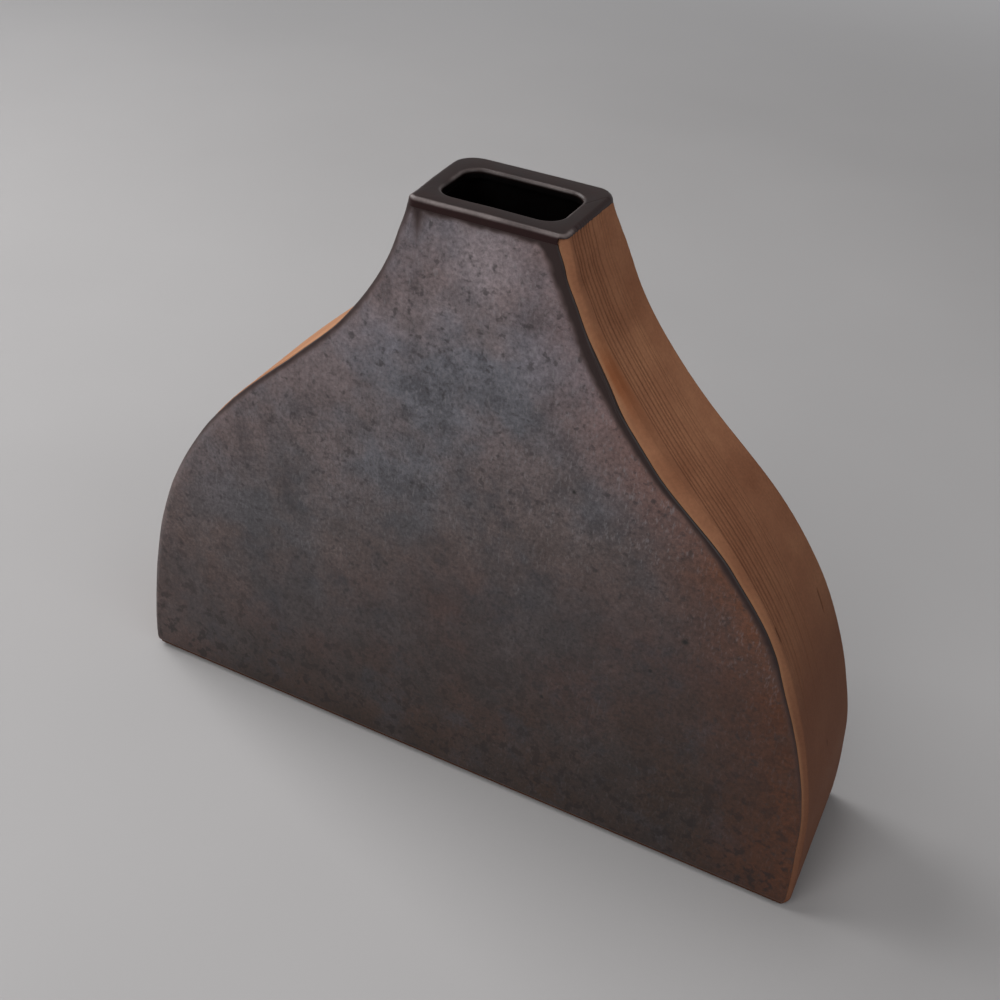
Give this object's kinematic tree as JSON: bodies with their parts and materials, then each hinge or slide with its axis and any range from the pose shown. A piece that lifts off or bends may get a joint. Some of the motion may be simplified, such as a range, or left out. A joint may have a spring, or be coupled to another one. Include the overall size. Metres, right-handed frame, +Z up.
{
  "type": "slab-built vase",
  "caption": "Flat slab-built stoneware vase, bell-shaped from the front, with a narrow dark-rimmed mouth, mottled glazed faces and bare combed side walls, for a few stems.",
  "frame": {"origin": "on the table under the middle of the foot", "axes": "+X across the wide front to the right, +Y from the front face to the back face, +Z up through the mouth"},
  "size_m": [0.247, 0.0558, 0.2],
  "materials": {
    "bare_clay": "bare toasted stoneware, combed and sponged, matt",
    "face_glaze": "mottled grey-brown satin glaze with fine speckles",
    "rim_glaze": "dark brown glossy glaze"
  },
  "bodies": {
    "root": {"front_slab": "bare_clay", "back_slab": "bare_clay", "right_side_wall": "bare_clay", "left_side_wall": "bare_clay", "base_slab": "bare_clay", "seam_coil_front_right": "bare_clay", "seam_coil_front_left": "bare_clay", "seam_coil_front_base": "bare_clay", "seam_coil_base_right": "bare_clay", "seam_coil_base_left": "bare_clay", "rim_ring": "rim_glaze", "front_glaze": "face_glaze", "back_glaze": "face_glaze", "liner_glaze": "rim_glaze"}
  },
  "joints": []
}
